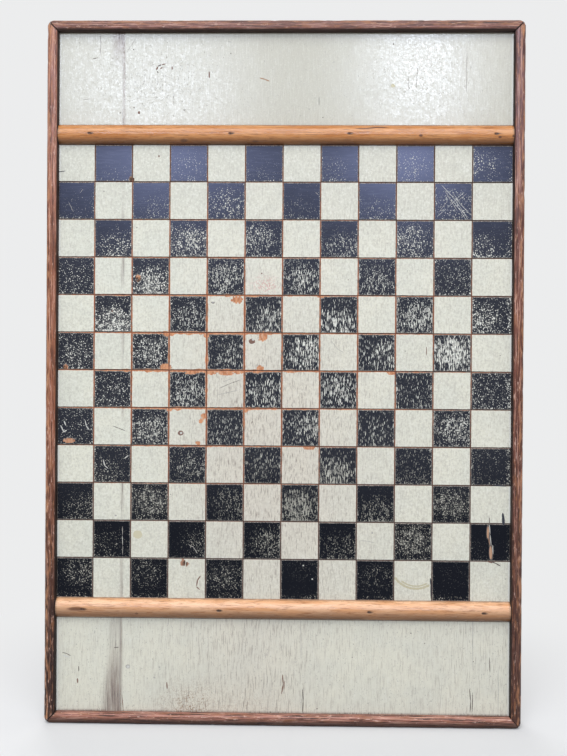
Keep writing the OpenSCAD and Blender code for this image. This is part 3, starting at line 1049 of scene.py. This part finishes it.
# Marks in the trays, as above, but their places are in millimetres from the ruler of tray_spot
TRAY_STROKES = {
    RUST_INK: [
        (1.7, (100.4, 38), (101.6, 36.2)), (1, (106.4, 33.2), (109.4, 32.4)),
        (1.2, (104.6, 37.2), (106.4, 36)), (1.2, (116.2, 35.4), (116.4, 38.2)),
        (1.3, (153.8, 40.5), (154, 46.5)), (1.5, (23.5, 656), (23.7, 660)),
        (1.3, (114.5, 659), (114.8, 665)), (1.3, (231.8, 650), (232.6, 659), (231, 668)),
        (0.8, (233.8, 656), (233.4, 664)), (0.7, (69, 672), (70.4, 688)),
    ],
    DIRT_INK: [
        (1.3, (102.2, 34.8), (105, 33.4)), (0.9, (101.4, 40), (102, 41.6)), (0.7, (36, 27.4), (40.6, 26.4)),
        (0.6, (265, 66), (265, 74)), (0.8, (8.2, 629.6), (12, 630.4), (16, 632.6)),
        (1, (24.6, 643.6), (24.8, 648)), (0.9, (61, 624), (65, 623.6)),
        (1.1, (252.2, 664.5), (252.8, 676), (252.4, 686.7)), (0.9, (420.4, 662), (421.6, 674), (421, 685)),
        (0.7, (423.5, 666), (423.2, 684)), (0.8, (440.2, 630), (440.8, 644)),
    ],
    PALE_INK: [(1.6, (106, 35.4), (110.4, 35.8)), (1.2, (8.6, 632.2), (15, 634.4))],
    WOOD_INK: [(1.3, (205.5, 46.7), (210, 48), (214.6, 49.8))],
    GREY_INK: [
        (0.8, (413.4, 21.5), (413, 42), (413.1, 60)), (0.6, (26, 68.3), (34, 68)),
        (0.5, (70, 21), (74, 15), (80, 6)), (0.9, (43, 2), (43.8, 12), (43.2, 23)),
        (0.5, (101, 3.5), (106, 3)), (0.6, (118, 62), (118.2, 74)),
        (0.7, (364, 36), (363, 48), (362.6, 56)), (0.6, (355, 44), (354.6, 58)),
        (0.6, (173, 10), (176, 10.5)), (0.5, (250.6, 668), (250.8, 684)), (0.6, (423, 560), (423.4, 640)),
        (0.5, (449, 640), (449.2, 684)), (0.5, (250, 600), (250.4, 632)),
        (0.6, (66.5, 590), (66.9, 626), (66.5, 684)),
    ],
}

TRAY_SPOTS = {
    RUST_INK: [(2.6, 2.9, 82.9, 81.7)],
    DIRT_INK: [
        (1.6, 1.2, 78, 76.8), (1.3, 1.4, 339.4, 12.5), (1.4, 1.2, 77, 18), (0.9, 1.5, 175.6, 22),
        (1.3, 1.2, 269, 86.4), (1.2, 1.2, 64, 82), (1.3, 1.3, 266.9, 683.5), (1.3, 1.2, 361, 606),
        (1.2, 1, 375, 616), (1.1, 1.1, 424, 634), (1, 1, 302, 631), (1.2, 0.8, 331, 597),
    ],
    TAN_INK: [(4.2, 3.6, 339.4, 54.3)],
    GREY_INK: [(1.5, 3, 129, 79), (4.6, 4.2, 74.7, 643), (1.6, 1.6, 102, 654)],
    PALE_INK: [(3.2, 2.8, 74.9, 643.2)],
}

# %% The marks
SUNK = 0.055 * MM

aged_ink = Finish("old_marks", 0.55)
faded = aged_ink.times(aged_ink.painted("ink"), 0.35)
mottled = aged_ink.level(aged_ink.noise(0.0011, detail=2), 0.35, 0.7)
aged_ink.colour(aged_ink.blend(aged_ink.times(mottled, faded), aged_ink.tint("ink"), (0.62, 0.6, 0.53)))
aged_ink.relief(mottled, 0.06 * MM, 0.6)

marks_bm = bmesh.new()
ink_layer = marks_bm.verts.layers.float_color.new("ink")


def lay_mark(ink, x, z, half_long, half_wide, angle, on_top=False):
    """One lens of colour, half sunk in the paint or on another, its long way at an angle from level."""
    place = (
        Matrix.Translation((x, COAT_Y + (0.0 if on_top else 0.4) * SUNK, z))
        @ Matrix.Rotation(-angle, 4, "Y")
        @ Matrix.Diagonal((half_long, SUNK, half_wide, 1))
    )
    made = bmesh.ops.create_uvsphere(marks_bm, u_segments=12, v_segments=6, radius=1, matrix=place)["verts"]
    for v in made:
        v.co.x += 0.16 * half_wide * ripple(v.co.x, v.co.z, 0.9 * MM, 8)
        v.co.z += 0.16 * half_wide * ripple(v.co.x, v.co.z, 0.9 * MM, 9)
        v[ink_layer] = (*ink, 1)


def lay_stroke(ink, width, places):
    """A scratch along some places: one long lens for each stretch, a little longer than the stretch."""
    half_wide = width * MM / 2
    on_top = ink in (PALE_INK, SPLIT_INK)
    for (x, z), (next_x, next_z) in zip(places, places[1:]):
        half_long = 0.56 * math.hypot(next_x - x, next_z - z) + width * MM / 3
        angle = math.atan2(next_z - z, next_x - x)
        lay_mark(ink, (x + next_x) / 2, (z + next_z) / 2, half_long, half_wide, angle, on_top)


for strokes, to_place in ((STROKES, spot), (TRAY_STROKES, tray_spot)):
    for ink, lines in strokes.items():
        for width, *places in lines:
            lay_stroke(ink, width, [to_place(*place) for place in places])
for spots, to_place in ((SPOTS, spot), (TRAY_SPOTS, tray_spot)):
    for ink, marks in spots.items():
        for wide, high, *place in marks:
            lay_mark(ink, *to_place(*place), wide * MM / 2, high * MM / 2, 0, ink == PALE_INK)

RING_AT = spot(9.58, 11.084)
for ring_r, ring_w, first_turn, last_turn in ((25.2, 1.25, -142, -62), (22.6, 0.8, -124, -66)):
    steps = round((last_turn - first_turn) / 8)
    for step in range(steps + 1):
        turn = math.radians(first_turn + step * (last_turn - first_turn) / steps)
        x, z = RING_AT[0] + ring_r * MM * math.cos(turn), RING_AT[1] + ring_r * MM * math.sin(turn)
        lay_mark(RING_INK, x, z, 2.3 * MM, ring_w * MM, turn + math.pi / 2)
show("scratches_and_stains", marks_bm, aged_ink)

# %% [markdown]
# ## The edge strips
#
# Each strip is one planed stick, rounded at its front edges, a little more on the outside. The flat
# outline of its end is swept along the stick, cut to its mitres, knocked off at the corners, and weathered
# by small moves inwards. The stain is nearly black beside the panel, partly soot and partly painted shade,
# and worn to tan where hands held the board. The foot strip's tone is lightened as painted light, the outer
# halves of the strips, the foot strip's most, are darkened as painted shade, and pale glints are painted
# highlights.

# %% The stain


def stained_wood(name, streaks, patches, left, right, low_pale):
    """Red-brown stain on pine, with streaks and patches of these sizes, and three tones for each side.

    low_pale is how strong the pale streaks are at the foot. Pale glints are laid on as painted highlights.
    The finish reads rub from the mesh, and soot together with painted shade.
    """
    wood = Finish(name)
    height = wood.axis("Z")
    low_half = wood.level(height, board_lo.z + 50 * MM, 0.36)
    high_half = wood.level(height, 0.4, board_hi.z)
    on_left, on_right = [wood.blend(high_half, wood.blend(low_half, foot, middle), head)
                         for foot, middle, head in (left, right)]
    wood.start(wood.level(wood.axis("X"), -0.15, 0.15), on_left, on_right)
    streak = wood.noise(streaks, detail=4, roughness=0.65, warp=0.3)
    wood.lay((0.034, 0.013, 0.009), wood.level(streak, 0.49, 0.58), wood.level(height, 0.1, 0.4, 0.88, 0.7))
    pale_share = wood.level(height, 0.03, 0.3, low_pale, 0.75)
    wood.lay((0.64, 0.36, 0.275), wood.level(streak, 0.45, 0.38), pale_share)
    patch = wood.noise(patches, detail=3, roughness=0.6)
    wood.lay((0.4, 0.165, 0.075), wood.level(patch, 0.52, 0.62), 0.45)
    wood.lay((0.56, 0.27, 0.14), wood.painted("rub"), wood.level(patch, 0.44, 0.58))
    # painted highlights: pale glints laid into the stain's colour, strongest at the foot
    painted_glints = wood.noise(tuple(size / 2 for size in patches), detail=3, roughness=0.65)
    wood.lay((0.76, 0.52, 0.44), wood.level(painted_glints, 0.6, 0.67), wood.level(height, 0.02, 0.06, 0.8, 0.5))
    # soot together with painted shade, as the mesh gives it, darkens the stain
    soot_and_shade = wood.times(wood.painted("soot_and_shade"), 0.92)
    wood.lay((0.014, 0.009, 0.008), soot_and_shade)
    wood.colour(wood.ground)
    wood.specular(0.36)
    wood.relief(streak, 0.42 * MM, 0.9)
    wood.shine(wood.plus(wood.level(patch, 0.3, 0.7, 0.24, 0.46), wood.times(soot_and_shade, 0.4)))
    return wood


# Tones at the foot, the middle and the head. The level strips' foot tone is painted light on the foot strip,
# whose rounding faces up
LEVEL_TONES = [(0.4, 0.17, 0.122), (0.24, 0.094, 0.068), (0.255, 0.104, 0.08)]
LEFT_TONES = [(0.026, 0.008, 0.005), (0.3, 0.106, 0.055), (0.39, 0.172, 0.126)]
RIGHT_TONES = [(0.08, 0.027, 0.017), (0.18, 0.063, 0.042), (0.23, 0.11, 0.108)]
level_stain = stained_wood("stain_on_level_strips", (0.03, 0.0015, 0.001), (0.013, 0.004, 0.0022),
                           LEVEL_TONES, LEVEL_TONES, 0.95)
upright_stain = stained_wood("stain_on_upright_strips", (0.001, 0.0015, 0.038), (0.0022, 0.004, 0.015),
                             LEFT_TONES, RIGHT_TONES, 0.1)
print("the stain is mixed")

# %% Sweeping and cutting a stick
strip_lo, strip_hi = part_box("head_strip")
STRIP_W = strip_hi.z - panel_hi.z
FRONT_Y = strip_lo.y
STRIP_STEP = 2.8 * MM
ROUNDINGS = [(FRONT_Y, 0, 3.5 * MM), (FRONT_Y, STRIP_W, 4 * MM), (BACK_Y, STRIP_W, 1.5 * MM)]
CORNER_R = 7 * MM
CORNER_SOFT = 3.6 * MM
MITRE_GAP = 0.15 * MM


def sweep(bm, length, step):
    """Draws the one flat face of a bmesh out along X, in steps, to a closed solid."""
    steps = round(length / step)
    bmesh.ops.spin(bm, geom=bm.faces[:], cent=(0, 0, 0), axis=(1, 0, 0), dvec=(length / steps, 0, 0),
                   angle=0, steps=steps)


def cut(bm, at, way, close=True):
    """Cuts a solid at a plane. What lies beyond goes, and the cut is closed; or both sides stay."""
    everything = bm.verts[:] + bm.edges[:] + bm.faces[:]
    made = bmesh.ops.bisect_plane(bm, geom=everything, dist=1e-7, plane_co=at, plane_no=way,
                                  clear_outer=close)
    if close:
        rim = [piece for piece in made["geom_cut"] if isinstance(piece, bmesh.types.BMEdge)]
        bmesh.ops.edgeloop_fill(bm, edges=rim)


def strip_stick(opening):
    """A mitred stick along X, for an opening of this length. Its outer side faces up."""
    bm = bmesh.new()
    length = opening + 2 * STRIP_W
    place = (
        Matrix.Translation((-length / 2, (FRONT_Y + BACK_Y) / 2, STRIP_W / 2))
        @ Matrix.Rotation(math.pi / 2, 4, "Y")
        @ Matrix.Diagonal((STRIP_W, BACK_Y - FRONT_Y, 1, 1))
    )
    bmesh.ops.create_grid(bm, x_segments=1, y_segments=1, size=0.5, matrix=place)
    for y, z, radius in ROUNDINGS:
        corner = min(bm.verts, key=lambda v: abs(v.co.y - y) + abs(v.co.z - z))
        bmesh.ops.bevel(bm, geom=[corner], offset=radius, offset_type="OFFSET", segments=5, profile=0.5,
                        affect="VERTICES", material=-1)
    for edge in [edge for edge in bm.edges if edge.calc_length() > 2.5 * MM]:
        bmesh.ops.subdivide_edges(bm, edges=[edge], cuts=round(edge.calc_length() / (1.6 * MM)) - 1)
    sweep(bm, length, STRIP_STEP)
    for end in (-1, 1):
        away = (end, 0, -1)
        cut(bm, (end * (opening / 2 - 1.5 * MITRE_GAP), 0, 0), away)
        cut(bm, (end * (opening / 2 - 9 * MITRE_GAP), 0, 0), away, close=False)
        for turn in (52.5, 67.5, 82.5):
            way = Vector((end * math.cos(math.radians(turn)), 0, math.sin(math.radians(turn))))
            middle = Vector((end * (opening / 2 + STRIP_W - CORNER_R), 0, STRIP_W - CORNER_R))
            cut(bm, middle + CORNER_R * way, way)
    return bm


proud = round((FACE_Y - FRONT_Y) / MM, 1)
print("a strip is", round(STRIP_W / MM, 1), "mm wide and stands", proud, "mm proud")

# %% The four strips
DENTS_EACH = 12


def weather_strip(bm, opening, chance, soot_and_shade_reach, handled, tight_end):
    """Moves a stick's skin inwards, more in its dents, and writes where it is rubbed and where soot and
    painted shade darken it.
    """
    rub_layer = bm.verts.layers.float.new("rub")
    soot_and_shade_layer = bm.verts.layers.float.new("soot_and_shade")
    dents = [(chance.uniform(-0.5, 0.5) * opening, chance.uniform(0.1, 0.32), chance.uniform(1.5, 5.0) * MM)
             for dent in range(DENTS_EACH)]
    layer = chance.randint(20, 60)
    bm.normal_update()
    for v in bm.verts:
        x, y, z = v.co
        outer = ease(z, 0.4 * STRIP_W, 0.85 * STRIP_W)
        in_front = 1 - ease(y, FRONT_Y + 2.5 * MM, FRONT_Y + 9 * MM)
        to_mitre = (opening / 2 + z - abs(x)) / math.sqrt(2)
        at_corner = 1 - ease(to_mitre, 2 * MM, 14 * MM)
        stretch = 0.5 + 0.5 * ripple(x, 0, 24 * MM, layer)
        v[rub_layer] = min(1, handled * outer * in_front * (0.25 + 0.75 * stretch) + 0.5 * outer * at_corner)
        # soot, and painted shade on the inner wall and along the panel, where shade falls
        inner_wall = 1 - ease(z, 0.3 * soot_and_shade_reach * MM, soot_and_shade_reach * MM) if soot_and_shade_reach else 0
        beside_panel = 1 - ease(FACE_Y - y, 0.2 * MM, 1.6 * MM) if z < 0.5 * MM else 0
        mitre = 0 if x * tight_end > 0 else 1 - ease(to_mitre, 0.35 * MM, 1.15 * MM)
        # painted shade: the outer half of a little-handled strip is darkened, most on the foot strip, where
        # it faces down
        under = 1.3 * (1 - handled) * ease(z, 0.32 * STRIP_W, 0.62 * STRIP_W)
        v[soot_and_shade_layer] = max(inner_wall, beside_panel, mitre, under)
        deep = 0.21 + 0.13 * ripple(x, y + z, 22 * MM, layer + 1)
        deep += 0.07 * ripple(x, y + z, 4 * MM, layer + 2)
        for dent_x, dent_deep, dent_wide in dents:
            deep += dent_deep * outer * in_front * bell(x, dent_x, dent_wide)
        free = max(ease(z, 0, 2 * MM), 0.6 * ease(FACE_Y - y, 1 * MM, 4 * MM))
        v.co -= v.normal * deep * free * MM
        across = abs(x) - (opening / 2 + STRIP_W - CORNER_R)
        up = z - (STRIP_W - CORNER_R)
        if across > 0 and up > 0 and y < 0:
            out = min(1, (math.hypot(across, up) - CORNER_R + CORNER_SOFT) / CORNER_SOFT)
            if out > 0:
                v.co.y = max(v.co.y, FRONT_Y + CORNER_SOFT * (1 - math.sqrt(1 - out * out)))


opening_w, opening_h = panel_hi.x - panel_lo.x, panel_hi.z - panel_lo.z
half_up = (panel_lo.z + panel_hi.z) / 2
# Each strip: its name, its opening, its place and turn, its stain, how far soot and painted shade beside the
# panel reach over its edge in millimetres, how much hands have rubbed it (the less, the more painted shade
# on its outer half), and the end whose mitre is still tight
STRIPS = [
    ("head_strip", opening_w, (0, 0, panel_hi.z), 0, level_stain, 3.6, 0.8, 0),
    ("foot_strip", opening_w, (0, 0, panel_lo.z), 180, level_stain, 0.0, 0.3, -1),
    ("left_strip", opening_h, (panel_lo.x, 0, half_up), -90, upright_stain, 1.6, 1.0, 0),
    ("right_strip", opening_h, (panel_hi.x, 0, half_up), 90, upright_stain, 1.4, 0.9, 1),
]
for seed, (strip, opening, at, turn, stain, soot_and_shade_reach, handled, tight_end) in enumerate(STRIPS):
    strip_bm = strip_stick(opening)
    weather_strip(strip_bm, opening, random.Random(seed), soot_and_shade_reach, handled, tight_end)
    place = Matrix.Translation(at) @ Matrix.Rotation(math.radians(turn), 4, "Y")
    bmesh.ops.transform(strip_bm, matrix=place, verts=strip_bm.verts)
    show(strip + "_wood", strip_bm, stain, [strip], smooth=True)

# %% [markdown]
# ## The dividers
#
# The two half-round bars are the same pine as the boards, but clear shellac kept them honey-coloured.
# The lower bar has a lighter tone than the upper one, as painted light, and each bar is darker towards its
# foot. Their section is an arc: one point, spun about the arc's middle, draws it. The nails were punched
# below the crown, so each sits in a small dark well, which the bar's skin is sunk to form.

# %% The dividers' finish
# Knots, a crack and a smear: X, Z, half their length and half their height in millimetres
DIVIDER_KNOTS = [
    (0.2146, 0.5921, 1.4, 1.0), (0.1357, 0.5935, 1.6, 1.1), (-0.1015, 0.5885, 3.0, 1.1),
    (0.2279, 0.5931, 1.1, 0.9), (-0.1465, 0.1123, 1.4, 0.9), (-0.207, 0.1165, 8.0, 1.5),
    (0.093, 0.602, 8.0, 0.75), (0.08, 0.6004, 8.0, 0.6), (-0.03, 0.588, 2.6, 0.7),
]
honey = Finish("honey_pine")
wash = honey.noise((0.055, 0.012, 0.007), detail=3, roughness=0.6)
wash_share = honey.level(wash, 0.36, 0.64)
# painted light: the lower bar, seen more from above, gets a lighter tone and lighter grain than the upper
# one
on_lower = honey.level(honey.axis("Z"), 0.4, 0.3)
upper_tone = honey.blend(wash_share, (0.5, 0.185, 0.046), (0.64, 0.29, 0.104))
lower_bar_painted_lit_tone = honey.blend(wash_share, (0.78, 0.395, 0.19), (0.93, 0.56, 0.335))
honey.start(on_lower, upper_tone, lower_bar_painted_lit_tone)
line_grain = honey.noise((0.014, 0.0013, 0.0009), detail=4, roughness=0.68, warp=0.35)
grain_tone = honey.blend(on_lower, (0.26, 0.095, 0.03), (0.36, 0.14, 0.05))
honey.lay(grain_tone, honey.level(line_grain, 0.51, 0.62), 0.7)
honey.lay((0.74, 0.4, 0.185), honey.level(line_grain, 0.45, 0.35), 0.4)
for knot_x, knot_z, half_long, half_high in DIVIDER_KNOTS:
    reach = honey.away(knot_x, knot_z, half_long * MM, half_high * MM)
    reach = honey.plus(reach, honey.times(line_grain, 0.4))
    honey.lay((0.11, 0.042, 0.024), honey.level(reach, 1.8, 0.9, 0, 0.9))
# darker towards the foot of each bar
honey.lay((0.15, 0.058, 0.018), honey.painted("darker_towards_foot"), honey.level(wash, 0.3, 0.6, 0.72, 1.0))
smears = honey.noise((0.004, 0.002, 0.0012), detail=3)
honey.lay((0.032, 0.018, 0.013), honey.painted("grime"), honey.level(smears, 0.2, 0.5))
honey.colour(honey.ground)
honey.relief(honey.plus(line_grain, wash), 0.22 * MM, 0.7)
honey.shine(honey.level(wash, 0.3, 0.7, 0.17, 0.34))
print("shellac over", len(DIVIDER_KNOTS), "knots")

# %% The two dividers
ARC_STEPS = 24
DIVIDER_STEP = 1.25 * MM
NAIL_SHARES = {"upper_divider": (0.07, 0.38, 0.64, 0.96), "lower_divider": (0.06, 0.36, 0.69, 0.94)}
WELL_DEEP = 0.95 * MM
WELL_WIDE = 2.0 * MM
WELL_HIGH = 1.1 * MM


def arc_face(bm, lo, hi):
    """The flat end of a half-round bar, at its left. Gives the middle of its arc."""
    half, high = (hi.z - lo.z) / 2, FACE_Y - lo.y
    radius = (half * half + high * high) / (2 * high)
    middle = Vector((lo.x, lo.y + radius, (lo.z + hi.z) / 2))
    start = bmesh.ops.create_vert(bm, co=(lo.x, FACE_Y, lo.z))["vert"]
    turn = 2 * math.asin(half / radius)
    bmesh.ops.spin(bm, geom=start, cent=middle, axis=(-1, 0, 0), angle=turn, steps=ARC_STEPS)
    bmesh.ops.contextual_create(bm, geom=[v for v in bm.verts if len(v.link_edges) == 1])
    bmesh.ops.edgeloop_fill(bm, edges=bm.edges[:])
    return middle


def sink_wells(v, nails, crown_z):
    """How far a point is sunk by the well of the nearest nail, and how dark it is there."""
    sunk = stain = 0
    for nail_x in nails:
        across, up = v.co.x - nail_x, v.co.z - crown_z
        if abs(across) < 12 * MM:
            from_nail = math.hypot(across / WELL_WIDE, up / WELL_HIGH)
            sunk = max(sunk, WELL_DEEP * (1 - ease(from_nail, 0.35, 1.0)))
            trail = math.hypot(across / (2.4 if across < 0 else 5.0), up / 1.5) / MM
            stain = max(stain, 1 - ease(trail, 0.45, 1.15))
    return sunk, stain


for name, (lo, hi) in (("upper_divider", (upper_lo, upper_hi)), ("lower_divider", (lower_lo, lower_hi))):
    bar_bm = bmesh.new()
    middle = arc_face(bar_bm, lo, hi)
    sweep(bar_bm, hi.x - lo.x, DIVIDER_STEP)
    nails = [lo.x + share * (hi.x - lo.x) for share in NAIL_SHARES[name]]
    near_nails = [
        edge for edge in bar_bm.edges
        if all(v.co.y < lo.y + 1.0 * MM and min(abs(v.co.x - x) for x in nails) < 5 * MM for v in edge.verts)
    ]
    bmesh.ops.subdivide_edges(bar_bm, edges=near_nails, cuts=2, use_grid_fill=True)
    grime_layer = bar_bm.verts.layers.float.new("grime")
    darker_towards_foot_layer = bar_bm.verts.layers.float.new("darker_towards_foot")
    half = (hi.z - lo.z) / 2
    for v in bar_bm.verts:
        x, y, z = v.co
        outwards = Vector((0, y - middle.y, z - middle.z)).normalized()
        sunk, stain = sink_wells(v, nails, middle.z)
        to_edge = half - abs(z - middle.z)
        at_end = 0.75 * (1 - ease(min(x - lo.x, hi.x - x), 0, 2.0 * MM))
        at_edge = (0.85 if z < middle.z else 0.5) * (1 - ease(to_edge, 0.15 * MM, 1.4 * MM))
        v[grime_layer] = max(stain, at_end, at_edge)
        # darker towards the foot of each bar, over most of the lower bar's height
        v[darker_towards_foot_layer] = 0.95 * (1 - ease(z - lo.z, 1.0 * MM, (8.2 if name == "upper_divider" else 19) * MM))
        skin = (0.16 + 0.1 * ripple(x, z, 26 * MM, 11) + 0.05 * ripple(x, z, 5 * MM, 12)) * MM
        if y < FACE_Y - 0.01 * MM:
            v.co -= outwards * (skin + sunk)
        else:
            v.co.z -= math.copysign(skin, z - middle.z)
    show(name + "_wood", bar_bm, honey, [name], smooth=True)
